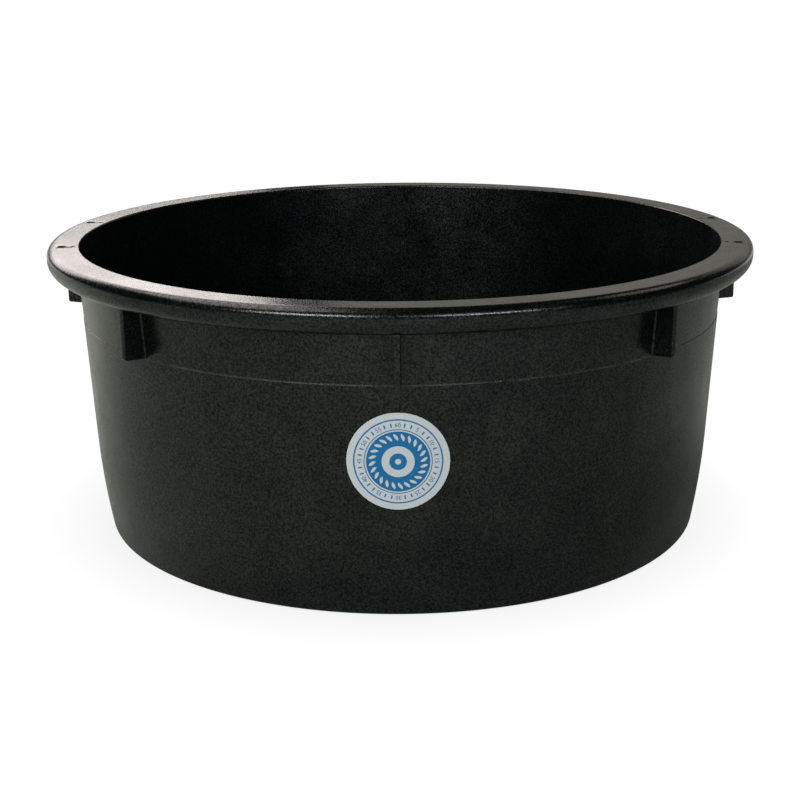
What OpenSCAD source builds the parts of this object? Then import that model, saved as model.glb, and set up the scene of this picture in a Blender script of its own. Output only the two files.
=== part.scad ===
// Round mortar mixing tub: one moulding in black plastic with a ribbed, turned-down rim,
// and a round self-adhesive label on its front.
// +Z is up, the front faces -Y, and the origin is the centre of the standing ring on the floor.
// Sizes are in millimetres and angles in degrees.

/* [Overall] */
// Outside diameter of the rim
rim_d = 710; // [590:1:855]
// Height from the floor to the top of the rim
tub_h = 289; // [240:1:350]

/* [Wall] */
// Thickness of the wall
wall_t = 4; // [3:0.1:6]
// Lean of the wall, which narrows it downwards
wall_draft = 2.92; // [1:0.01:5]
// Height over which the wall also curves in towards the floor
belly_h = 94; // [40:1:120]
// How far that curve pulls the wall in at the floor
belly_in = 6; // [0:0.5:15]
// Radius of the outer corner between wall and floor
corner_r = 4; // [2:0.5:8]
// Radius of the inner corner between wall and floor
inner_corner_r = 14; // [6:1:25]

/* [Floor] */
// Thickness of the floor
floor_t = 4; // [3:0.1:6]
// Width of the standing ring round the underside
ring_w = 16; // [8:1:30]
// Height that the middle of the underside is lifted off the ground
ring_h = 2; // [1:0.5:4]
// Diameter of the moulding's feed mark in the middle of the underside
feed_d = 18; // [10:1:40]
// Depth of the feed mark
feed_depth = 1; // [0.5:0.1:1.5]

/* [Rim] */
// Width of the flat rim, from the inside of the wall outwards
rim_w = 32; // [26:1:45]
// Thickness of the flat rim
rim_t = 3.6; // [2.5:0.1:6]
// Height of the turned-down skirt, measured from the top of the rim
skirt_h = 24; // [20:0.5:30]
// Thickness of the skirt
skirt_t = 3; // [2:0.1:4]
// Lean of the skirt's straight part
skirt_draft = 6; // [2:0.5:10]
// Radius of the skirt's lower edge, which curls in
curl_r = 14; // [8:0.5:16]
// Radius of the rim's outer edge
rim_edge_r = 8; // [5:0.5:9]
// Radius of the rim's inner edge
mouth_edge_r = 1.8; // [0.5:0.1:2.5]

/* [Band under the rim] */
// Height of the band that the ribs stand on, measured from the top of the rim
band_h = 72.5; // [55:0.5:90]
// Depth that the band is set back behind the wall below it
band_step = 0.5; // [0.2:0.1:1]
// Lean of the band's face
band_draft = 4.3; // [3:0.1:6]

/* [Ribs] */
// Number of ribs round the tub
rib_count = 8; // [4:4:16]
// Thickness of each rib
rib_t = 6; // [4:0.5:10]
// Distance from the rim's outer edge in to the ribs' free edge
rib_inset = 10; // [8:0.5:14]
// How much higher each rib's foot is at its free edge than at the wall
rib_rise = 2; // [0:0.5:6]
// Radius of the corner at the foot of each rib
rib_corner_r = 2; // [1:0.5:4]

/* [Rim holes] */
// Diameter of the four holes through the rim
hole_d = 8.5; // [6:0.5:10]
// Distance from the rim's outer edge in to the holes' centres
hole_inset = 15; // [13:0.5:16]
// Angle from the side rib to the holes on either side of it
hole_angle = 12; // [6:0.5:18]
// Diameter of the shallow ejector mark inwards of each hole
mark_d = 5; // [3:0.5:6]
// Depth of the ejector marks
mark_depth = 0.8; // [0.3:0.1:1.5]
// Place of each ejector mark on the land beside its hole, from 0 at the mouth's edge to 1 at the hole
mark_place = 0.3; // [0:0.05:1]

/* [Label] */
// Diameter of the round label
label_d = 88.5; // [50:0.5:100]
// Depth of the label's centre below the top of the rim
label_drop = 140.5; // [125:0.5:145]
// Thickness of the label's film with its adhesive
film_t = 0.25; // [0.2:0.05:0.5]
// Thickness of the printed ink
ink_t = 0.1; // [0.1:0.05:0.2]
// Number of marks round the label's dial
dial_marks = 36; // [12:4:72]

/* [Hidden] */

plastic_black = [0.07, 0.075, 0.07];
label_white = [0.93, 0.94, 0.94];
label_blue = [0.02, 0.42, 0.70];

arc_steps = 6;
belly_steps = 10;
overlap = 1;

rim_r = rim_d / 2;
mouth_r = rim_r - rim_w;
wall_top_r = mouth_r + wall_t;
wall_slope = tan(wall_draft);
floor_top = ring_h + floor_t;
band_z = tub_h - band_h;
rim_under = tub_h - rim_t;
skirt_z = tub_h - skirt_h;

// Outer radius of the plain wall at height z, with its curve in towards the floor
function wall_r(z) = wall_top_r - wall_slope * (tub_h - z)
    - belly_in * pow(max(0, belly_h - z) / belly_h, 2);
// Outer radius of the band under the rim at height z
function band_r(z) = wall_r(band_z) - band_step + tan(band_draft) * (z - band_z);
// Points along an arc about (cr, cz), from angle a to angle b
function arc_points(cr, cz, rad, a, b) =
    [for (i = [0 : arc_steps]) let (t = a + (b - a) * i / arc_steps) [cr + rad * cos(t), cz + rad * sin(t)]];
// Heights that divide the curved part of the wall, from z0 up to belly_h
function belly_z(z0) = [for (i = [1 : belly_steps]) z0 + (belly_h - z0) * i / belly_steps];
// The outer face of the wall between the corner and the band, as [height, radius]
wall_face = [for (z = concat([corner_r], belly_z(corner_r), [band_z])) [z, wall_r(z)]];

// The flat land between the mouth's rounded edge and the rim holes, and the marks' place on it
land_in = mouth_r + mouth_edge_r + mark_d / 2;
land_out = rim_r - hole_inset - hole_d / 2 - mark_d / 2;
mark_r = land_in + mark_place * (land_out - land_in);

// The skirt: a straight leaning face, then an arc that curls in to the lower edge, as large as
// curl_r or as the height below the rim's rounded edge allows
curl_end = -80;
curl = min(curl_r, (skirt_h - rim_edge_r - overlap) / sin(-curl_end));
curl_z = skirt_z - curl * sin(curl_end);
skirt_foot_r = rim_r - tan(skirt_draft) * (tub_h - rim_edge_r - curl_z);
curl_c = skirt_foot_r - curl;
// Centre of the rim's rounded outer edge
edge_c = rim_r - rim_edge_r;
edge_z = tub_h - rim_edge_r;

// Half section of the moulding from the floor's middle, up the outside and down the inside
outer_points = concat(
    [[0, ring_h], [wall_r(0) - ring_w - ring_h, ring_h], [wall_r(0) - ring_w, 0]],
    arc_points(wall_r(corner_r) - corner_r, corner_r, corner_r, -90, 0),
    [for (p = wall_face) if (p[0] > corner_r) [p[1], p[0]]],
    [[band_r(band_z), band_z + band_step]],
    [[band_r(rim_under), rim_under]]);
skirt_points = concat(
    arc_points(edge_c, edge_z, rim_edge_r - rim_t, 90, 0),
    arc_points(curl_c, curl_z, curl - skirt_t, 0, curl_end),
    arc_points(curl_c, curl_z, curl, curl_end, 0),
    arc_points(edge_c, edge_z, rim_edge_r, 0, 90));
inner_points = concat(
    arc_points(mouth_r + mouth_edge_r, tub_h - mouth_edge_r, mouth_edge_r, 90, 180),
    [for (i = [belly_steps - 1 : -1 : 0])
        let (z = belly_z(floor_top + inner_corner_r)[i]) [wall_r(z) - wall_t, z]],
    arc_points(wall_r(floor_top + inner_corner_r) - wall_t - inner_corner_r,
        floor_top + inner_corner_r, inner_corner_r, 0, -90),
    [[0, floor_top]]);

module shell() {
    rotate_extrude($fn = 180)
        polygon(concat(outer_points, skirt_points, inner_points));
}

// One rib: an upright plate from the wall to the middle of the skirt's thickness, with its foot
// rising a little from the band's foot
module rib() {
    tip_r = rim_r - rib_inset;
    root = -wall_t / 2;
    rotate([90, 0, 0])
        linear_extrude(height = rib_t, center = true)
            polygon(concat(
                [[band_r(band_z) + root, band_z]],
                arc_points(tip_r - rib_corner_r, band_z + rib_rise + rib_corner_r, rib_corner_r, -90, 0),
                [[tip_r, skirt_z + overlap]],
                arc_points(curl_c, curl_z, curl - skirt_t / 2, curl_end + 20, 0),
                arc_points(edge_c, edge_z, rim_edge_r - rim_t / 2, 0, 90),
                [[band_r(rim_under) + root, rim_under + rim_t / 2]]));
}

module ribs() {
    for (i = [0 : rib_count - 1])
        rotate([0, 0, 360 * i / rib_count])
            rib();
}

// Holes and marks lie on either side of the two side ribs
module at_side_ribs(r) {
    for (side = [0, 180], turn = [-hole_angle, hole_angle])
        rotate([0, 0, side + turn])
            translate([r, 0, 0])
                children();
}

module rim_holes() {
    at_side_ribs(rim_r - hole_inset)
        translate([0, 0, rim_under - overlap])
            cylinder(h = rim_t + 2 * overlap, d = hole_d, $fn = 48);
}

module ejector_marks() {
    at_side_ribs(mark_r)
        translate([0, 0, tub_h - mark_depth])
            cylinder(h = mark_depth + overlap, d = mark_d, $fn = 48);
}

module feed_mark() {
    translate([0, 0, ring_h - overlap])
        difference() {
            cylinder(h = feed_depth + overlap, d = feed_d, $fn = 64);
            cylinder(h = feed_depth + 2 * overlap, d = feed_d / 4, $fn = 32);
        }
}

module tub() {
    color(plastic_black)
        difference() {
            union() {
                shell();
                ribs();
            }
            rim_holes();
            ejector_marks();
            feed_mark();
        }
}

// A thin skin on the wall, from one distance off its face to another
module wall_skin(from, to) {
    last = len(wall_face) - 1;
    rotate_extrude($fn = 180)
        polygon(concat(
            [for (i = [0 : last]) [wall_face[i][1] + from, wall_face[i][0]]],
            [for (i = [last : -1 : 0]) [wall_face[i][1] + to, wall_face[i][0]]]));
}

// Stands children on the wall at the label's centre, with their +Z square to the wall
module at_label() {
    z = tub_h - label_drop;
    translate([0, -lookup(z, wall_face), z])
        rotate([90 + wall_draft, 0, 0])
            children();
}

// Depth of the punches that cut the label's shapes out of a skin
punch_h = 30;

module punch(d) {
    translate([0, 0, -punch_h / 2])
        cylinder(h = punch_h, d = d, $fn = 96);
}

module punch_ring(outer, inner) {
    difference() {
        punch(outer);
        translate([0, 0, -overlap])
            scale(1.2)
                punch(inner / 1.2);
    }
}

module label_film() {
    color(label_white)
        intersection() {
            wall_skin(0, film_t);
            at_label() punch(label_d);
        }
}

// The print's rings and marks, as diameters that follow the label's own
line_w = 1.2;
ring_d = label_d * 0.87;
mark_out = label_d * 0.80;
mark_in = label_d * 0.70;
disc_d = label_d * 0.62;
eye_d = label_d * 0.32;

module dial_mark() {
    translate([(mark_in + mark_out) / 4, 0, 0])
        cube([(mark_out - mark_in) / 2, line_w, punch_h], center = true);
}

module label_print() {
    color(label_blue)
        intersection() {
            wall_skin(film_t, film_t + ink_t);
            at_label() {
                punch_ring(ring_d, ring_d - 2 * line_w);
                punch_ring(disc_d, eye_d);
                for (i = [0 : dial_marks - 1])
                    rotate([0, 0, 360 * i / dial_marks])
                        dial_mark();
            }
        }
}

tub();
label_film();
label_print();
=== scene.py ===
"""Round mortar mixing tub in black plastic, seen on a pale floor in soft studio light.

The scene is in metres: +Z is up, the front faces -Y, and the origin is the centre of the tub's foot on the
floor. Sizes are named in millimetres, and a shape is brought to metres when its mesh is made.
"""
import math

import bpy
import numpy as np
from mathutils import Matrix, Vector


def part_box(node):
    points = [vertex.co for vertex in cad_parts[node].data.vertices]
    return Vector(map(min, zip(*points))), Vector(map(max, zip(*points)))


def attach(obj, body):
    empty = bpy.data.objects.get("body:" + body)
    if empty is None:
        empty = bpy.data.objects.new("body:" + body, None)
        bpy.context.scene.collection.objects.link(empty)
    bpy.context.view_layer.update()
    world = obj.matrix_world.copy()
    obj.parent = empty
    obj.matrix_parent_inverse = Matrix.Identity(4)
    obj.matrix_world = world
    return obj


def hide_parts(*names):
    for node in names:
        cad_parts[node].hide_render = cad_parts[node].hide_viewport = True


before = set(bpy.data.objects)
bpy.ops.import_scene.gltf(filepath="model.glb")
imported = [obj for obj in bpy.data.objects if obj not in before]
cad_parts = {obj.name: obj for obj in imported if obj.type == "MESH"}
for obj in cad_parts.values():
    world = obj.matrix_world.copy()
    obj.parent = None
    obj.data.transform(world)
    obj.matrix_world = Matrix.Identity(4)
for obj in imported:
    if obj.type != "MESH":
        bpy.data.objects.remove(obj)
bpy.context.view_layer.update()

MM = 0.001
BODY = "root"

# ---------------------------------------------------------------- sizes, in millimetres

TUB_HIGH = np.array(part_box("tub")[1]) / MM
RIM_R = TUB_HIGH[0]
TUB_H = TUB_HIGH[2]

# Wall and floor
WALL_T = 4.0
WALL_DRAFT = math.radians(2.92)
BELLY_H = 94.0
BELLY_IN = 6.0
CORNER_R = 4.0
INNER_CORNER_R = 14.0
FLOOR_T = 4.0
RING_W = 16.0
RING_H = 2.0
FEED_D = 18.0
FEED_DEPTH = 1.0

# Rim and skirt
RIM_W = 32.0
RIM_T = 3.6
SKIRT_H = 24.0
SKIRT_T = 3.0
SKIRT_DRAFT = math.radians(6)
CURL_R = 14.0
CURL_TURN = math.radians(80)
RIM_EDGE_R = 8.0
MOUTH_EDGE_R = 1.8

# Band under the rim
BAND_H = 72.5
BAND_STEP = 0.5
BAND_DRAFT = math.radians(4.3)

# Ribs, their roundings, and the sink marks on the wall's inside behind them
RIB_COUNT = 8
RIB_T = 6.0
RIB_INSET = 10.0
RIB_RISE = 2.0
RIB_CORNER_R = 2.0
RIB_EDGE_R = 0.9
ROOT_R = 1.6
SINK_DEPTH = 0.35
SINK_W = 1.5

# Rim holes and ejector marks
HOLE_D = 8.5
HOLE_INSET = 15.0
HOLE_ANGLE = math.radians(12)
MARK_D = 5.0
MARK_DEPTH = 0.8
MARK_PLACE = 0.3

# Label
LABEL_DROP = 140.5
FILM_T = 0.25
INK_T = 0.1
DIAL_PLACES = 36
NUMBER_H = 5.4
LINE_W = 1.2

# What follows from them
MOUTH_R = RIM_R - RIM_W
WALL_TOP_R = MOUTH_R + WALL_T
BAND_Z = TUB_H - BAND_H
RIM_UNDER = TUB_H - RIM_T
SKIRT_Z = TUB_H - SKIRT_H
FLOOR_TOP = RING_H + FLOOR_T
RIB_TIP_R = RIM_R - RIB_INSET
CURL_Z = SKIRT_Z + CURL_R * math.sin(CURL_TURN)
SKIRT_FOOT_R = RIM_R - math.tan(SKIRT_DRAFT) * (TUB_H - RIM_EDGE_R - CURL_Z)
CURL_C = SKIRT_FOOT_R - CURL_R
EDGE_C = RIM_R - RIM_EDGE_R
EDGE_Z = TUB_H - RIM_EDGE_R
LAND_IN = MOUTH_R + MOUTH_EDGE_R + MARK_D / 2
LAND_OUT = RIM_R - HOLE_INSET - HOLE_D / 2 - MARK_D / 2
MARK_R = LAND_IN + MARK_PLACE * (LAND_OUT - LAND_IN)
LABEL_LOW, LABEL_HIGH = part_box("label_film")
LABEL_R = (LABEL_HIGH.x - LABEL_LOW.x) / 2 / MM
LABEL_Z = TUB_H - LABEL_DROP


def wall_r(z):
    """Outer radius of the wall at height z: a straight lean, less a parabola that draws it in at the foot."""
    return (WALL_TOP_R - math.tan(WALL_DRAFT) * (TUB_H - z)
            - BELLY_IN * (np.maximum(0, BELLY_H - z) / BELLY_H) ** 2)


def band_r(z):
    """Outer radius of the band under the rim at height z: a straight lean, set one step behind the wall."""
    return wall_r(BAND_Z) - BAND_STEP + math.tan(BAND_DRAFT) * (z - BAND_Z)


# ---------------------------------------------------------------- mesh helpers

def link(name, data, *materials):
    """A new object at the origin that holds this mesh, text, camera or lamp."""
    for material in materials:
        data.materials.append(material)
    piece = bpy.data.objects.new(name, data)
    bpy.context.scene.collection.objects.link(piece)
    return piece


def mesh_from(name, points, faces):
    """A mesh from an array of points in millimetres and a list of faces."""
    mesh = bpy.data.meshes.new(name)
    mesh.from_pydata((np.asarray(points, float) * MM).tolist(), [], faces)
    mesh.validate()
    mesh.update()
    return mesh


def grid_faces(rows, columns, wrap_rows=False, wrap_columns=False):
    """Quads of a grid of points numbered row by row. Each joins a point to its neighbours in the next row and
    column, and a wrapped direction joins its last line to its first."""
    i = np.arange(rows if wrap_rows else rows - 1)[:, None]
    j = np.arange(columns if wrap_columns else columns - 1)[None, :]
    i2, j2 = (i + 1) % rows, (j + 1) % columns
    corners = [i * columns + j, i * columns + j2, i2 * columns + j2, i2 * columns + j]
    return np.stack(corners, axis=-1).reshape(-1, 4)


def turned(x, y, cos, sin):
    """x and y turned about the origin by the angle with this cosine and sine."""
    return x * cos - y * sin, x * sin + y * cos


def rounded(corners, radii, steps=6, lead=0.15):
    """A path of (r, z) corners with each one rounded to its radius.

    A corner's arc leaves each side at radius * tan(half the turn) from the corner, and its points are the
    centre plus the radius turned evenly from one side's normal to the other's. A point lies just before and
    just after each arc, so that the flats beside it keep their own shading. A corner of radius 0 stays one
    point.
    """
    same_point = 1e-4
    p = np.asarray(corners, float)
    rho = np.asarray(radii, float)
    before, after = np.roll(p, 1, 0), np.roll(p, -1, 0)
    before[0], after[-1] = p[0] - (p[1] - p[0]), p[-1] + (p[-1] - p[-2])
    d1 = (p - before) / np.linalg.norm(p - before, axis=1, keepdims=True)
    d2 = (after - p) / np.linalg.norm(after - p, axis=1, keepdims=True)
    cross = d1[:, 0] * d2[:, 1] - d1[:, 1] * d2[:, 0]
    turn = np.arctan2(cross, (d1 * d2).sum(1))
    reach = rho * np.abs(np.tan(turn / 2))
    start = p - d1 * reach[:, None]
    side = np.sign(turn)[:, None] * np.stack([-d1[:, 1], d1[:, 0]], axis=1)
    centre = start + side * rho[:, None]
    angle = turn[:, None] * np.linspace(0, 1, steps + 1)[None, :]
    spoke = (start - centre)[:, None, :]
    c, s = np.cos(angle)[..., None], np.sin(angle)[..., None]
    arc = centre[:, None, :] + spoke * c + np.stack([-spoke[..., 1], spoke[..., 0]], axis=-1) * s
    lead_in = (start - d1 * np.minimum(lead, rho)[:, None])[:, None, :]
    lead_out = (p + d2 * (reach + np.minimum(lead, rho))[:, None])[:, None, :]
    path = np.concatenate([lead_in, arc, lead_out], axis=1).reshape(-1, 2)
    keep = np.concatenate([[True], np.linalg.norm(np.diff(path, axis=0), axis=1) > same_point])
    return path[keep]


def revolved(path, angles, shift=0.0):
    """Points and faces of a closed surface turned about Z: the point at (angle, step) is (r cos a, r sin a,
    z) for the path's (r, z).

    The path's two ends lie on the axis and become single points. shift is added to the radii: one number, or
    one row for each angle with one column for each of the path's inner points.
    """
    r, z = path[1:-1, 0], path[1:-1, 1]
    count, steps = len(angles), len(r)
    radius = np.broadcast_to(r[None, :] + shift, (count, steps))
    x, y = radius * np.cos(angles)[:, None], radius * np.sin(angles)[:, None]
    side = np.stack([x, y, np.broadcast_to(z, radius.shape)], axis=-1).reshape(-1, 3)
    poles = np.array([[0, 0, path[0, 1]], [0, 0, path[-1, 1]]])
    ring = np.arange(count)
    after = (ring + 1) % count
    bottom, top = count * steps, count * steps + 1
    faces = grid_faces(count, steps, wrap_rows=True)[:, ::-1].tolist()
    faces += np.stack([np.full(count, bottom), after * steps, ring * steps], axis=-1).tolist()
    last = steps - 1
    faces += np.stack([np.full(count, top), ring * steps + last, after * steps + last], axis=-1).tolist()
    return np.concatenate([side, poles]), faces


def finished(piece):
    """The piece with its modifiers applied to its mesh."""
    seen = piece.evaluated_get(bpy.context.evaluated_depsgraph_get())
    mesh = bpy.data.meshes.new_from_object(seen)
    piece.modifiers.clear()
    piece.data = mesh
    return piece


def combine(piece, other, operation):
    """Unites piece with other, or cuts other out of it, and removes other."""
    cut = piece.modifiers.new(operation.lower(), "BOOLEAN")
    cut.operation = operation
    cut.solver = "MANIFOLD"
    cut.object = other
    finished(piece)
    bpy.data.objects.remove(other)


def smooth(piece, crease):
    """Smooth shading, with edges sharper than the crease angle kept sharp."""
    piece.data.polygons.foreach_set("use_smooth", np.ones(len(piece.data.polygons), bool))
    piece.data.set_sharp_from_angle(angle=crease)
    return piece


# ---------------------------------------------------------------- the tub

MOULDING_CREASE = math.radians(38)


def underside_path():
    """From the underside's middle, over the feed mark and the standing ring, to the foot of the wall."""
    nub_r, feed_r, feed_z = FEED_D / 8, FEED_D / 2, RING_H + FEED_DEPTH
    foot_r = wall_r(0) - RING_W
    above_foot = 12.0
    feed_edge_r, ring_in_r, ring_edge_r = 0.3, 2.0, 1.5
    return rounded(
        [[0, RING_H], [nub_r, RING_H], [nub_r, feed_z], [feed_r, feed_z], [feed_r, RING_H],
         [foot_r / 2, RING_H], [foot_r - RING_H, RING_H], [foot_r, 0], [wall_r(0.0), 0],
         [wall_r(above_foot), above_foot]],
        [0, feed_edge_r, feed_edge_r, feed_edge_r, feed_edge_r, 0, ring_in_r, ring_edge_r, CORNER_R, 0])


def rim_path():
    """From the wall over the step and the band, round the skirt and its curled lip, over the rim's top and
    down into the mouth.

    The skirt's leaning face meets the rim's top where the rounding of the rim's outer edge asks for it. The
    curl's corner lies its radius * tan(half its turn) below the curl's start, and as far before the lip.
    """
    step_z = BAND_Z + 0.1
    below_step, into_mouth = 40.0, 43.0
    step_in, step_rise = 0.02, 0.06
    mouth_in = 2.2
    curl_lead = 0.2
    step_r, band_foot_r, band_top_r = 0.3, 0.2, 1.5
    lip_in_r, lip_out_r = 0.6, 0.8
    curl_ease = 0.9
    skirt_top_r = (EDGE_C + RIM_EDGE_R * (1 - math.sin(SKIRT_DRAFT)) / math.cos(SKIRT_DRAFT)
                   + RIM_EDGE_R * math.tan(SKIRT_DRAFT))
    skirt_in_r, curl_in_r = SKIRT_FOOT_R - SKIRT_T, CURL_R - SKIRT_T
    reach_out, reach_in = (radius * math.tan(CURL_TURN / 2) for radius in (CURL_R, curl_in_r))
    to_lip = np.array([-math.sin(CURL_TURN), -math.cos(CURL_TURN)])
    lip_out = np.array([SKIRT_FOOT_R, CURL_Z - reach_out]) + to_lip * reach_out
    lip_in = np.array([skirt_in_r, CURL_Z - reach_in]) + to_lip * reach_in
    return rounded(
        [[wall_r(step_z - below_step), step_z - below_step], [wall_r(step_z), step_z],
         [band_r(step_z) - step_in, step_z + step_rise], [band_r(RIM_UNDER), RIM_UNDER],
         [skirt_in_r, RIM_UNDER], [skirt_in_r, CURL_Z - reach_in], lip_in, lip_out,
         [SKIRT_FOOT_R, CURL_Z - reach_out], [SKIRT_FOOT_R, CURL_Z - curl_lead],
         [skirt_top_r, TUB_H], [MOUTH_R, TUB_H], [MOUTH_R - mouth_in, TUB_H - into_mouth]],
        [0, step_r, band_foot_r, band_top_r, RIM_EDGE_R - RIM_T, curl_ease * curl_in_r, lip_in_r, lip_out_r,
         curl_ease * CURL_R, 0, RIM_EDGE_R, MOUTH_EDGE_R, 0], steps=8)


def inside_path():
    """Down the inside of the wall, one wall's thickness behind the outside, to the floor's middle."""
    band_stops = BAND_Z + np.array([6.0, 0.0, -8.0])
    wall_stops = np.array([165.0, 130.0])
    belly_stops = np.linspace(BELLY_H, 24.0, 10)
    floor_stops = np.array([200.0, 100.0, 20.0, 0.0])
    above_corner, corner_in = 22.0, 0.6
    z = np.concatenate([band_stops, wall_stops, belly_stops])
    wall = np.stack([wall_r(z) - WALL_T, z], axis=1)
    corner = [[wall_r(above_corner) - WALL_T, above_corner],
              [wall_r(FLOOR_TOP) - WALL_T - corner_in, FLOOR_TOP]]
    floor = [[stop, FLOOR_TOP] for stop in floor_stops]
    low = rounded(corner + floor, [0, INNER_CORNER_R, 0, 0, 0, 0], steps=10)
    return np.concatenate([wall, low[1:]])


def shell_path():
    """Half section of the moulding: from the underside's middle out to the foot, up the wall, round the rim's
    skirt and down the inside to the floor's middle."""
    belly = np.linspace(18.0, BELLY_H, 12)
    wall = np.stack([wall_r(belly), belly], axis=1)
    return np.concatenate([underside_path(), wall, rim_path(), inside_path()])


def rib_angles():
    """The ribs' places round the tub, evenly spaced from +X."""
    return np.arange(RIB_COUNT) * 2 * math.pi / RIB_COUNT


def column_angles(per_rib=44):
    """Angles round the tub, closer together near each rib: offset = half a rib's spacing * sign(u) |u|^2."""
    u = np.linspace(-1, 1, per_rib, endpoint=False)
    offset = math.pi / RIB_COUNT * np.sign(u) * np.abs(u) ** 2
    return (rib_angles()[:, None] + offset[None, :]).ravel()


def sink_marks(path, angles):
    """Shallow dents in the inner wall behind the ribs, where the thick plastic shrank: a bell across each
    rib's line, as high as the rib. The shift is 0 everywhere else."""
    overrun = 4.0
    r, z = path[1:-1, 0], path[1:-1, 1]
    beside_rib = (z > BAND_Z - overrun) & (z < TUB_H - overrun) & (r < MOUTH_R)
    inner = (np.arange(len(r)) > np.argmax(z)) & beside_rib
    spacing = 2 * math.pi / RIB_COUNT
    across = (np.mod(angles + spacing / 2, spacing) - spacing / 2) * MOUTH_R
    bell = SINK_DEPTH * np.exp(-(across / SINK_W) ** 2)
    return bell[:, None] * inner[None, :]


def rib_side():
    """One side of a rib's plate, as a grid of (radius, half thickness, height) with a row for each height.

    The grid runs over (distance in from the free edge, distance up from the foot), and its lines crowd
    together where the plate rounds off. Its two free sides are rounded to a corner by turning the square's
    rings into arcs. Half its thickness is the plate's, less a quarter circle along the free edges, plus a
    quarter circle where it meets the wall and the rim. Above the skirt's lip the free edge follows the middle
    of the skirt's thickness. The foot climbs outwards by the rib's rise, which fades out up the plate.
    """
    sunk, root_bite, root_flat, rise_fade = 2.0, 0.2, 0.05, 40.0
    edge_stops = np.array([0, 0.1, 0.3, 0.6, RIB_EDGE_R, 1.4, RIB_CORNER_R])
    root_stops = np.array([2.3, 1.0, 0.6, 0.3, 0.1, -0.2, -sunk])
    foot_stops = np.concatenate([edge_stops, [6.0, 20.0, 35.0], np.arange(44.0, 60.0, 1.0)])
    head_stops = np.array([8.0, 4.0, 1.5, 1.0, 0.6, 0.3, 0.1, -0.2, -1.8])
    tip_stops = np.concatenate([edge_stops, [4.5]])

    z = np.concatenate([BAND_Z + foot_stops, RIM_UNDER - head_stops])
    curl = CURL_C + np.sqrt(np.maximum(0, (CURL_R - SKIRT_T / 2) ** 2 - np.minimum(0, z - CURL_Z) ** 2))
    edge = EDGE_C + np.sqrt(np.maximum(0, (RIM_EDGE_R - RIM_T / 2) ** 2 - np.maximum(0, z - EDGE_Z) ** 2))
    outer = np.maximum(RIB_TIP_R, np.minimum(curl, edge))[:, None]
    band = band_r(z)[:, None]
    r = np.maximum(np.concatenate([outer - tip_stops, band + root_stops], axis=1), band - sunk)
    z = np.broadcast_to(z[:, None], r.shape)

    in_r, in_z = outer - r, z - BAND_Z
    free = np.minimum(in_r, in_z)
    to_r, to_z = RIB_CORNER_R - in_r, RIB_CORNER_R - in_z
    corner = (to_r >= 0) & (to_z >= 0)
    ring, along = np.maximum(to_r, to_z), np.minimum(to_r, to_z)
    turn = math.pi / 4 * along / np.maximum(ring, 1e-9)
    turn = np.where(to_r >= to_z, turn, math.pi / 2 - turn)
    r = np.where(corner, outer - RIB_CORNER_R + ring * np.cos(turn), r)
    z = np.where(corner, BAND_Z + RIB_CORNER_R - ring * np.sin(turn), z)

    inside = np.clip(RIB_EDGE_R - free, 0, RIB_EDGE_R)
    half = RIB_T / 2 - RIB_EDGE_R + np.sqrt(RIB_EDGE_R ** 2 - inside ** 2)
    for gap in (r - band_r(z), RIM_UNDER - z):
        near = np.clip(ROOT_R - gap - root_bite, 0, ROOT_R - root_flat)
        half = half + ROOT_R - np.sqrt(ROOT_R ** 2 - near ** 2)

    out = np.clip((r - band_r(BAND_Z)) / (RIB_TIP_R - band_r(BAND_Z)), 0, 1)
    z = z + RIB_RISE * out * np.clip(1 - (z - BAND_Z) / rise_fade, 0, 1)
    return np.stack([r, half, z], axis=-1)


def ribs_mesh():
    """The ribs: a plate's two sides, which mirror each other, joined along their edges and turned to each
    rib's place."""
    side = rib_side()
    rows, columns = side.shape[:2]
    size = rows * columns
    side = side.reshape(-1, 3)
    plate = np.concatenate([side, side * [1, -1, 1]])
    number = np.arange(size).reshape(rows, columns)
    edge = np.concatenate([number[0, :-1], number[:-1, -1], number[-1, :0:-1], number[:0:-1, 0]])
    edge_on = np.roll(edge, -1)
    faces = np.concatenate([
        grid_faces(rows, columns)[:, ::-1], grid_faces(rows, columns) + size,
        np.stack([edge, edge_on, edge_on + size, edge + size], axis=-1)])
    angles = rib_angles()[:, None]
    x, y = turned(plate[None, :, 0], plate[None, :, 1], np.cos(angles), np.sin(angles))
    points = np.stack([x, y, np.broadcast_to(plate[None, :, 2], x.shape)], axis=-1)
    faces = faces[None] + (np.arange(RIB_COUNT) * len(plate))[:, None, None]
    return mesh_from("ribs", points.reshape(-1, 3), faces.reshape(-1, 4).tolist())


def cutters_mesh(name, path, place_r, around=48):
    """Four round cutters beside the two side ribs, each the path turned about its own upright axis."""
    points, faces = revolved(path, np.linspace(0, 2 * math.pi, around, endpoint=False))
    places = np.array([HOLE_ANGLE, -HOLE_ANGLE, math.pi + HOLE_ANGLE, math.pi - HOLE_ANGLE])
    centres = np.stack([np.cos(places), np.sin(places), 0 * places], axis=1) * place_r
    copies = (points[None] + centres[:, None]).reshape(-1, 3)
    every = [[v + k * len(points) for v in face] for k in range(len(places)) for face in faces]
    return mesh_from(name, copies, every)


def hole_path():
    """Section of a rim hole's cutter: straight, with a rounded flare at the rim's top and underside."""
    r, ease, clear, past = HOLE_D / 2, 0.25, 0.02, 2.0
    turn = np.linspace(0, math.pi / 2, 6)
    out, back = ease * (1 - np.sin(turn)), ease * (1 - np.cos(turn))
    low = np.stack([r + out, RIM_UNDER - clear + back], axis=1)
    high = np.stack([r + back, TUB_H + clear - out], axis=1)
    start = [[0, RIM_UNDER - past], [r + ease, RIM_UNDER - past]]
    end = [[r + ease, TUB_H + past], [0, TUB_H + past]]
    return np.concatenate([start, low, high, end])


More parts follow.
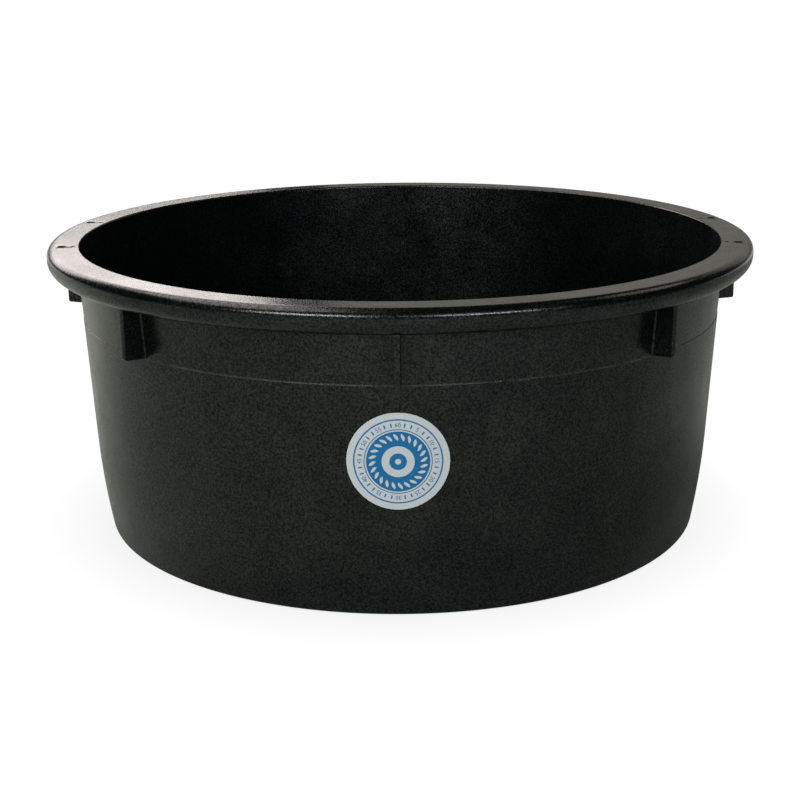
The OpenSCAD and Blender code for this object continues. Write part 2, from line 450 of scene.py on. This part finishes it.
def mark_path():
    """Section of an ejector mark's cutter: a flat disc with a rounded lower edge and a flared top."""
    r, ease, flare, clear, past = MARK_D / 2, 0.3, 0.25, 0.02, 2.0
    floor_z = TUB_H - MARK_DEPTH
    turn = np.linspace(0, math.pi / 2, 5)
    edge = np.stack([r - ease * (1 - np.sin(turn)), floor_z + ease * (1 - np.cos(turn))], axis=1)
    top = [[r, TUB_H - flare], [r + flare, TUB_H + clear], [r + flare, TUB_H + past], [0, TUB_H + past]]
    return np.concatenate([[[0, floor_z]], edge, top])


def make_tub(material):
    """The moulding: the turned shell and its ribs as one solid, less the rim holes and ejector marks."""
    path, angles = shell_path(), column_angles()
    shell = mesh_from("tub_moulding", *revolved(path, angles, sink_marks(path, angles)))
    holes = cutters_mesh("holes", hole_path(), RIM_R - HOLE_INSET)
    marks = cutters_mesh("marks", mark_path(), MARK_R)
    tub = link("tub_moulding", shell, material)
    combine(tub, link("ribs", ribs_mesh(), material), "UNION")
    combine(tub, link("holes", holes, material), "DIFFERENCE")
    combine(tub, link("marks", marks, material), "DIFFERENCE")
    return smooth(tub, MOULDING_CREASE)


# ---------------------------------------------------------------- the label

# Radii on the label, from its edge inwards
LINE_OUT = 0.87 * LABEL_R
DIAL_OUT, DIAL_MIDDLE, DIAL_IN = 0.79 * LABEL_R, 0.75 * LABEL_R, 0.71 * LABEL_R
THIN_OUT, THIN_IN = 0.665 * LABEL_R, 0.648 * LABEL_R
BORDER_OUT, BORDER_IN = 0.62 * LABEL_R, 0.32 * LABEL_R
EYE_OUT, EYE_IN = 0.17 * LABEL_R, 0.06 * LABEL_R
LABEL_CREASE = math.radians(40)


def on_wall(flat, lift):
    """Lays flat points (across, up) from the label's centre on the wall, lifted off it.

    Up runs along the leaning wall, so z = centre + up * cos(lean). Across stays x, and y = -sqrt(R^2 - x^2),
    where R is the wall's radius at that height plus the lift.
    """
    across, up = flat[:, 0], flat[:, 1]
    z = LABEL_Z + up * math.cos(WALL_DRAFT)
    radius = wall_r(z) + lift
    return np.stack([across, -np.sqrt(radius ** 2 - across ** 2), z], axis=1)


def polar(rings, turns):
    """Flat points of a grid over (ring radius, turn), row by row; turns may have one row for each ring."""
    rings, turns = np.asarray(rings)[:, None], np.atleast_2d(turns)
    points = np.stack([rings * np.cos(turns), rings * np.sin(turns)], axis=-1)
    return points.reshape(-1, 2)


def flat_ring(rings, count=144):
    """Flat points and faces between concentric circles of these radii."""
    points = polar(rings, np.linspace(0, 2 * math.pi, count, endpoint=False))
    return points, grid_faces(len(rings), count, wrap_columns=True)[:, ::-1].tolist()


def flat_disc(rings, count=144):
    """Flat points and faces of a disc: concentric circles about a middle point, which closes the smallest."""
    points, faces = flat_ring(rings, count)
    first = np.arange(count)
    fan = np.stack([np.full(count, len(points)), first, np.roll(first, -1)], axis=-1)
    return np.concatenate([points, [[0, 0]]]), faces + fan.tolist()


def thickened(piece, thickness, even=True):
    """The skin with its thickness, inwards from the face that shows. An even thickness suits an outline
    without sharp corners."""
    solid = piece.modifiers.new("thickness", "SOLIDIFY")
    solid.thickness = thickness * MM
    solid.offset = -1
    solid.use_even_offset = even
    return smooth(finished(piece), LABEL_CREASE)


def make_film(material):
    """The round film: rings about a middle point, laid on the wall and closer together near its edge."""
    rings = LABEL_R * np.array([0.12, 0.25, 0.4, 0.55, 0.7, 0.82, 0.92, 0.985, 1.0])
    flat, faces = flat_disc(rings)
    mesh = mesh_from("label_film_skin", on_wall(flat, FILM_T), faces)
    return thickened(link("label_film_skin", mesh, material), FILM_T)


def print_marks():
    """Flat points and faces of the dial's marks: narrow bars, with each third place left for a number."""
    places = np.arange(DIAL_PLACES)
    places = places[places % 3 != 0] * 2 * math.pi / DIAL_PLACES
    half = LINE_W / 2
    bar = np.array([[DIAL_IN, -half], [DIAL_IN, half], [DIAL_OUT, half], [DIAL_OUT, -half]])
    x, y = turned(bar[:, 0], bar[:, 1], np.cos(places)[:, None], np.sin(places)[:, None])
    faces = np.arange(len(places))[:, None] * len(bar) + np.array([0, 3, 2, 1])[None]
    return np.stack([x, y], axis=-1).reshape(-1, 2), faces.tolist()


def print_border(leaves=24):
    """Flat points and faces of the wide ring, with a row of leaf-shaped openings left in it.

    Its columns follow each opening's two sides: half an opening's angle is a sine bell over its length, and a
    twist makes it lean. The faces between the two sides are left out where the opening is.
    """
    leaf_start, leaf_length, leaf_half, leaf_lean, bluntness = 0.36, 0.5, 0.27, 0.55, 0.8
    across = np.linspace(0, 1, 13)
    rings = BORDER_IN + (BORDER_OUT - BORDER_IN) * (leaf_start + leaf_length * across)
    rings = np.concatenate([[BORDER_IN], rings, [BORDER_OUT]])
    opening = np.concatenate([[0], np.sin(math.pi * across) ** bluntness, [0]])
    step = 2 * math.pi / leaves
    half = leaf_half * step * opening
    lean = leaf_lean * step * np.concatenate([[0], across, [1]])
    centre = np.arange(leaves)[:, None] * step
    middle = np.broadcast_to((centre + step / 2)[:, None], (leaves, 1, len(rings)))
    sides = np.stack([centre - half[None], centre + half[None]], axis=1)
    turns = np.concatenate([sides, middle], axis=1).reshape(-1, len(rings)).T + lean[:, None]
    rows, columns = turns.shape
    faces = grid_faces(rows, columns, wrap_columns=True)[:, ::-1]
    row, column = np.divmod(np.arange(len(faces)), columns)
    opened = (column % 3 == 0) & (row >= 1) & (row < rows - 2)
    return polar(rings, turns), faces[~opened].tolist()


def written(number):
    """Flat points and faces of a number in the plain font, centred on the origin."""
    text = bpy.data.curves.new("number", "FONT")
    text.body = str(number)
    text.align_x, text.align_y = "CENTER", "CENTER"
    text.size = NUMBER_H
    text.resolution_u = 3
    writer = link("number", text)
    bpy.context.view_layer.update()
    mesh = bpy.data.meshes.new_from_object(writer.evaluated_get(bpy.context.evaluated_depsgraph_get()))
    points = np.empty(len(mesh.vertices) * 3)
    mesh.vertices.foreach_get("co", points)
    points = points.reshape(-1, 3)[:, :2]
    faces = [list(face.vertices) for face in mesh.polygons]
    bpy.data.objects.remove(writer)
    bpy.data.meshes.remove(mesh)
    return points - (points.min(0) + points.max(0)) / 2, faces


def print_numbers():
    """The dial's numbers, from 5 to 60 like a clock's minutes, each standing upright on its ray."""
    numbers = []
    for place in range(12):
        points, faces = written(5 * (place or 12))
        turn = -place * math.pi / 6
        cos, sin = math.cos(turn), math.sin(turn)
        x, y = turned(points[:, 0], points[:, 1], cos, sin)
        numbers.append((np.stack([x, y], axis=1) + DIAL_MIDDLE * np.array([-sin, cos]), faces))
    return numbers


def make_print(material):
    """The label's print: an outer line, a dial with plain numbers, a thin line, a wide ring with leaf-shaped
    openings and a small ring in the middle."""
    same_point = 0.002
    parts = [flat_ring([LINE_OUT - LINE_W, LINE_OUT]), print_marks(), *print_numbers(),
             flat_ring([THIN_IN, THIN_OUT]), print_border(), flat_ring([EYE_IN, EYE_OUT], count=48)]
    flat = np.concatenate([points for points, _ in parts])
    starts = np.cumsum([0] + [len(points) for points, _ in parts])
    faces = [[v + start for v in face] for (_, own), start in zip(parts, starts) for face in own]
    mesh = mesh_from("label_ink_print", on_wall(flat, FILM_T + INK_T), faces)
    ink = link("label_ink_print", mesh, material)
    weld = ink.modifiers.new("weld", "WELD")
    weld.merge_threshold = same_point * MM
    return thickened(ink, INK_T, even=False)


# ---------------------------------------------------------------- materials

WHITE = (1.0, 1.0, 1.0)
PLASTIC_DEEP, PLASTIC_LIGHT = (0.0004, 0.0020, 0.0016), (0.0016, 0.0040, 0.0032)
PLASTIC_DUST = (0.030, 0.030, 0.027)
# Painted highlight: a paler plastic colour for the edges of the band's foot and the skirt's lip.
PLASTIC_EDGE_HIGHLIGHT = (0.060, 0.060, 0.050)
FILM_WHITE, FILM_HATCH, FILM_CLOUD = (0.76, 0.79, 0.80), (0.58, 0.66, 0.73), (0.66, 0.70, 0.72)
INK_FULL, INK_THIN = (0.000, 0.150, 0.400), (0.010, 0.210, 0.480)
PAPER = (0.93, 1.0, 0.91)


class Finish:
    """A node material whose patterns follow Object coordinates. Its methods add nodes and link them."""

    def __init__(self, name):
        self.material = bpy.data.materials.new(name)
        self.material.use_nodes = True
        self.tree = self.material.node_tree
        self.shader = self.tree.nodes["Principled BSDF"]
        self.place = self.add("ShaderNodeTexCoord").outputs["Object"]

    def put(self, socket, value):
        """Links the socket to another one, or sets it to a value."""
        if isinstance(value, bpy.types.NodeSocket):
            self.tree.links.new(value, socket)
        else:
            socket.default_value = value

    def add(self, kind, inputs=(), **settings):
        """A node with its settings and inputs."""
        node = self.tree.nodes.new(kind)
        for key, value in settings.items():
            setattr(node, key, value)
        for key, value in dict(inputs).items():
            self.put(node.inputs[key], value)
        return node

    def stretched(self, x, y, z):
        """Object coordinates scaled along each axis."""
        return self.add("ShaderNodeMapping", {"Vector": self.place, "Scale": (x, y, z)}).outputs[0]

    def axes(self):
        """Object coordinates as three numbers, by the axis's name."""
        return self.add("ShaderNodeSeparateXYZ", {"Vector": self.place}).outputs

    def noise(self, scale, detail=2.0, rough=0.5, where=None, distortion=0.0):
        """Cloudy noise from 0 to 1."""
        return self.add("ShaderNodeTexNoise", {
            "Vector": where or self.place, "Scale": scale, "Detail": detail, "Roughness": rough,
            "Distortion": distortion}).outputs["Fac"]

    def ramp(self, fac, low, high, to_low=0.0, to_high=1.0):
        """fac taken from low..high to to_low..to_high, and held at the ends."""
        return self.add("ShaderNodeMapRange", {
            "Value": fac, "From Min": low, "From Max": high, "To Min": to_low, "To Max": to_high}).outputs[0]

    def math(self, operation, a, b=0.0):
        """One step of arithmetic on one or two numbers."""
        return self.add("ShaderNodeMath", {0: a, 1: b}, operation=operation).outputs[0]

    def mix(self, fac, a, b):
        """Colour a where fac is 0 and colour b where it is 1."""
        node = self.add("ShaderNodeMix", {"Factor": fac}, data_type="RGBA")
        for key, value in (("A", a), ("B", b)):
            socket = [s for s in node.inputs if s.name == key and s.type == "RGBA"][0]
            self.put(socket, (*value, 1.0) if isinstance(value, tuple) else value)
        return [s for s in node.outputs if s.type == "RGBA"][0]

    def bump(self, height, distance, strength, under=None):
        """A normal bent by a height, on top of another one where it is given."""
        inputs = {"Height": height, "Distance": distance, "Strength": strength}
        if under is not None:
            inputs["Normal"] = under
        return self.add("ShaderNodeBump", inputs).outputs[0]

    def set(self, **inputs):
        """The material, with these inputs set on its shader."""
        for key, value in inputs.items():
            self.put(self.shader.inputs[key.replace("_", " ")], value)
        return self.material


def from_axis(f):
    """Distance from the tub's axis."""
    flat = f.add("ShaderNodeVectorMath", {0: f.place, 1: (1.0, 1.0, 0.0)}, operation="MULTIPLY").outputs[0]
    return f.add("ShaderNodeVectorMath", {0: flat}, operation="LENGTH").outputs["Value"]


def level_line(f, height, near, far, start_r, full_r):
    """1 on a level line round the tub's outside: it holds to near above and below its height, is gone at far,
    and comes in between the two radii."""
    away = f.math("ABSOLUTE", f.math("SUBTRACT", f.axes()["Z"], height * MM))
    return f.math("MULTIPLY", f.ramp(away, far * MM, near * MM),
                  f.ramp(from_axis(f), start_r * MM, full_r * MM))


def black_plastic():
    """Black polyethylene as it leaves the mould: a fine matt grain, faint drag lines up the wall, cloudy
    patches of more and less shine, a few dusty scuffs, and a painted highlight: a paler colour along the
    band's foot and the skirt's lip, where their edges would catch the light."""
    f = Finish("black_plastic")
    grain = f.noise(650.0, detail=3.0, rough=0.6)
    speck = f.noise(520.0, detail=2.0)
    mottle = f.noise(22.0, detail=3.0)
    cloud = f.noise(13.0, detail=4.0, rough=0.6, distortion=1.2)
    drag = f.noise(1.0, detail=3.0, rough=0.6, where=f.stretched(260.0, 260.0, 7.0))
    sway = f.noise(7.0, detail=1.5)
    dust = f.noise(48.0, detail=5.0, rough=0.65, distortion=0.6)

    band_foot_r = band_r(BAND_Z)
    # Painted highlight: the band's foot and the skirt's lip get a paler colour, where their edges would catch
    # the light.
    on_step = level_line(f, BAND_Z, 0.4, 0.9, band_foot_r - 1.0, band_foot_r - 0.5)
    on_lip = level_line(f, SKIRT_Z + 0.3, 0.5, 1.0, RIB_TIP_R - 3.5, RIB_TIP_R - 2.5)
    painted_edge_highlight = f.math("MULTIPLY", f.math("MAXIMUM", on_step, on_lip), f.ramp(cloud, 0.30, 0.62, 0.15, 1.0))
    colour = f.mix(f.ramp(speck, 0.38, 0.62), PLASTIC_DEEP, PLASTIC_LIGHT)
    colour = f.mix(f.ramp(dust, 0.66, 0.82, 0.0, 0.35), colour, PLASTIC_DUST)
    colour = f.mix(painted_edge_highlight, colour, PLASTIC_EDGE_HIGHLIGHT)

    rough = f.math("ADD", f.ramp(mottle, 0.3, 0.7, 0.19, 0.27), f.ramp(speck, 0.35, 0.65, -0.03, 0.05))
    rough = f.math("ADD", rough, f.ramp(dust, 0.6, 0.8, 0.0, 0.10))
    shine = f.math("MULTIPLY", f.ramp(speck, 0.36, 0.64, 0.28, 0.80), f.ramp(cloud, 0.35, 0.65, 0.85, 1.18))
    normal = f.bump(sway, 4.0 * MM, 0.20)
    normal = f.bump(drag, 0.12 * MM, 0.35, under=normal)
    normal = f.bump(grain, 0.18 * MM, 0.45, under=normal)
    return f.set(Base_Color=colour, Roughness=rough, Specular_IOR_Level=shine, IOR=1.5, Normal=normal)


def label_film_finish():
    """Glossy white film with a faint printed hatch and a slight unevenness from the adhesive."""
    f = Finish("label_film")
    hatch = f.add("ShaderNodeTexWave", {"Vector": f.stretched(1.0, 0.0, 1.0), "Scale": 190.0},
                  bands_direction="DIAGONAL").outputs["Fac"]
    cloud = f.noise(70.0, detail=2.0)
    colour = f.mix(f.ramp(hatch, 0.35, 0.75, 0.0, 0.55), FILM_WHITE, FILM_HATCH)
    colour = f.mix(f.ramp(cloud, 0.4, 0.6, 0.0, 0.15), colour, FILM_CLOUD)
    normal = f.bump(f.noise(45.0, detail=2.0), 0.6 * MM, 0.25)
    return f.set(Base_Color=colour, Roughness=f.ramp(cloud, 0.3, 0.7, 0.26, 0.36), Normal=normal)


def label_ink_finish():
    """Blue screen-printing ink, a little uneven in its cover."""
    f = Finish("label_ink")
    cover = f.noise(900.0, detail=2.0)
    colour = f.mix(f.ramp(cover, 0.35, 0.7), INK_FULL, INK_THIN)
    return f.set(Base_Color=colour, Roughness=f.ramp(cover, 0.3, 0.7, 0.28, 0.38),
                 Normal=f.bump(cover, 0.03 * MM, 0.4))


def floor_finish():
    """Pale floor: matt paper that glows white to the eye, a little less in the tub's own shade. What the
    tub's gloss mirrors is a pale grey with painted light and shade: darker in front and to the left, paler
    behind, and a painted glow far behind the tub."""
    f = Finish("pale_floor")
    where = f.axes()
    # Painted light and shade: the floor's colour is darker to the left and in front and paler behind, and it
    # glows far behind the tub, for the tub's gloss to mirror.
    left = f.ramp(where["X"], 0.1, -0.6, 0.0, -0.13)
    behind = f.ramp(where["Y"], -0.15, 0.35, -0.08, 0.16)
    far = f.ramp(where["Y"], 1.2, 1.8, 0.0, 0.9)
    pale = f.math("ADD", f.math("ADD", left, behind), 0.58)
    f.set(Base_Color=f.mix(pale, (0.0, 0.0, 0.0), PAPER), Roughness=0.9, Specular_IOR_Level=0.0,
          Emission_Color=(*WHITE, 1.0), Emission_Strength=far)
    # Painted shadow: the floor's glow to the eye dims where the tub closes in on it.
    open_sky = f.add("ShaderNodeAmbientOcclusion", {"Distance": 0.12}, samples=8).outputs["AO"]
    glow = f.add("ShaderNodeEmission", {
        "Color": (*WHITE, 1.0), "Strength": f.ramp(open_sky, 0.30, 0.90, 0.86, 1.02)})
    to_eye = f.add("ShaderNodeLightPath").outputs["Is Camera Ray"]
    seen = f.add("ShaderNodeMixShader", {0: to_eye, 1: f.shader.outputs[0], 2: glow.outputs[0]})
    f.put(f.tree.nodes["Material Output"].inputs["Surface"], seen.outputs[0])
    return f.material


# ---------------------------------------------------------------- camera, floor and light

CAMERA_TARGET = Vector((-0.0014, 0.0, 0.1087))
CAMERA_DISTANCE = 1.6005
CAMERA_ELEVATION = 0.28717
CAMERA_AZIMUTH = math.radians(0.62)
CAMERA_ROLL = -0.00907
CAMERA_LENS = 67.88
CAMERA_SENSOR = 36.0


def towards(azimuth, elevation):
    """The unit vector out to an azimuth, measured from the front towards +X, and an elevation, in radians."""
    level = math.cos(elevation)
    return Vector((math.sin(azimuth) * level, -math.cos(azimuth) * level, math.sin(elevation)))


def make_camera():
    """A camera that looks at its target from a distance, elevation and azimuth, with a slight roll."""
    back = towards(CAMERA_AZIMUTH, CAMERA_ELEVATION)
    level = Vector((math.cos(CAMERA_AZIMUTH), math.sin(CAMERA_AZIMUTH), 0.0))
    upright = back.cross(level)
    right = level * math.cos(CAMERA_ROLL) + upright * math.sin(CAMERA_ROLL)
    up = upright * math.cos(CAMERA_ROLL) - level * math.sin(CAMERA_ROLL)
    data = bpy.data.cameras.new("camera")
    data.lens, data.sensor_width = CAMERA_LENS, CAMERA_SENSOR
    data.clip_start, data.clip_end = 0.05, 60.0
    camera = link("camera", data)
    axes = Matrix((right, up, back)).transposed().to_4x4()
    axes.translation = Matrix.Rotation(CAMERA_AZIMUTH, 3, "Z") @ CAMERA_TARGET + back * CAMERA_DISTANCE
    camera.matrix_world = axes
    bpy.context.scene.camera = camera


def softbox(name, target, azimuth, elevation, distance, size, radiance, tint):
    """A rectangular lamp of even brightness that faces the target from an azimuth and an elevation, both in
    degrees. Its power is pi * radiance * area."""
    back = towards(math.radians(azimuth), math.radians(elevation))
    lamp = bpy.data.lights.new(name, "AREA")
    lamp.shape = "RECTANGLE"
    lamp.size, lamp.size_y = size
    lamp.energy = math.pi * radiance * size[0] * size[1]
    lamp.color = tint
    holder = link(name, lamp)
    holder.location = Vector(target) + back * distance
    holder.rotation_mode = "QUATERNION"
    holder.rotation_quaternion = back.to_track_quat("Z", "Y")
    holder.visible_camera = False


def make_lights():
    """Two panels behind the tub, which the flat of its rim mirrors, one overhead at the left, one high at the
    right, and two low lamps in front, which glint on the rim's rounded edge."""
    front_of_rim = (0.0, -0.355, 0.289)
    softbox("panel_back_left", target=(-1.035, 0.0, 0.96), azimuth=180, elevation=0, distance=1.25,
            size=(1.53, 0.88), radiance=3.7, tint=(1.0, 0.93, 0.90))
    softbox("panel_back_right", target=(0.75, 0.0, 0.80), azimuth=180, elevation=0, distance=1.25,
            size=(1.80, 0.80), radiance=0.43, tint=(1.0, 0.95, 0.85))
    softbox("panel_over_left", target=(-1.05, 0.1, 0.3), azimuth=0, elevation=89.9, distance=1.6,
            size=(1.3, 2.4), radiance=2.6, tint=(1.0, 0.95, 0.93))
    softbox("panel_right", target=(0.3, 0.0, 0.28), azimuth=112, elevation=48, distance=2.2,
            size=(1.0, 0.7), radiance=1.3, tint=(1.0, 0.93, 0.80))
    softbox("lamp_front_left", target=front_of_rim, azimuth=-30, elevation=21, distance=2.3,
            size=(1.30, 0.22), radiance=24.0, tint=WHITE)
    softbox("lamp_front_right", target=front_of_rim, azimuth=27, elevation=21, distance=2.3,
            size=(1.25, 0.20), radiance=20.0, tint=(0.92, 0.98, 1.0))


def make_world():
    """A white surround to the eye, and a dim room to everything else."""
    world = bpy.data.worlds.new("studio")
    world.use_nodes = True
    nodes, links = world.node_tree.nodes, world.node_tree.links
    nodes.clear()
    mix = nodes.new("ShaderNodeMixShader")
    dim_room, white_surround = ((0.85, 0.95, 1.0), 0.015), (WHITE, 1.1)
    for socket, (tint, strength) in zip((1, 2), (dim_room, white_surround)):
        background = nodes.new("ShaderNodeBackground")
        background.inputs["Color"].default_value = (*tint, 1.0)
        background.inputs["Strength"].default_value = strength
        links.new(background.outputs[0], mix.inputs[socket])
    links.new(nodes.new("ShaderNodeLightPath").outputs["Is Camera Ray"], mix.inputs[0])
    links.new(mix.outputs[0], nodes.new("ShaderNodeOutputWorld").inputs[0])
    bpy.context.scene.world = world


def make_floor(material, radius=9000.0):
    """A wide disc: rings about a middle point, level with the tub's foot."""
    flat, faces = flat_disc(radius * np.array([0.1, 0.4, 1.0]), count=96)
    floor = link("floor", mesh_from("floor", np.column_stack([flat, np.zeros(len(flat))]), faces), material)


# ---------------------------------------------------------------- the scene

make_camera()
make_world()
make_lights()
make_floor(floor_finish())
bpy.context.scene.view_settings.view_transform = "Standard"

tub = make_tub(black_plastic())
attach(tub, BODY)
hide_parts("tub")

film = make_film(label_film_finish())
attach(film, BODY)
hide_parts("label_film")

ink = make_print(label_ink_finish())
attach(ink, BODY)
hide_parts("label_print")
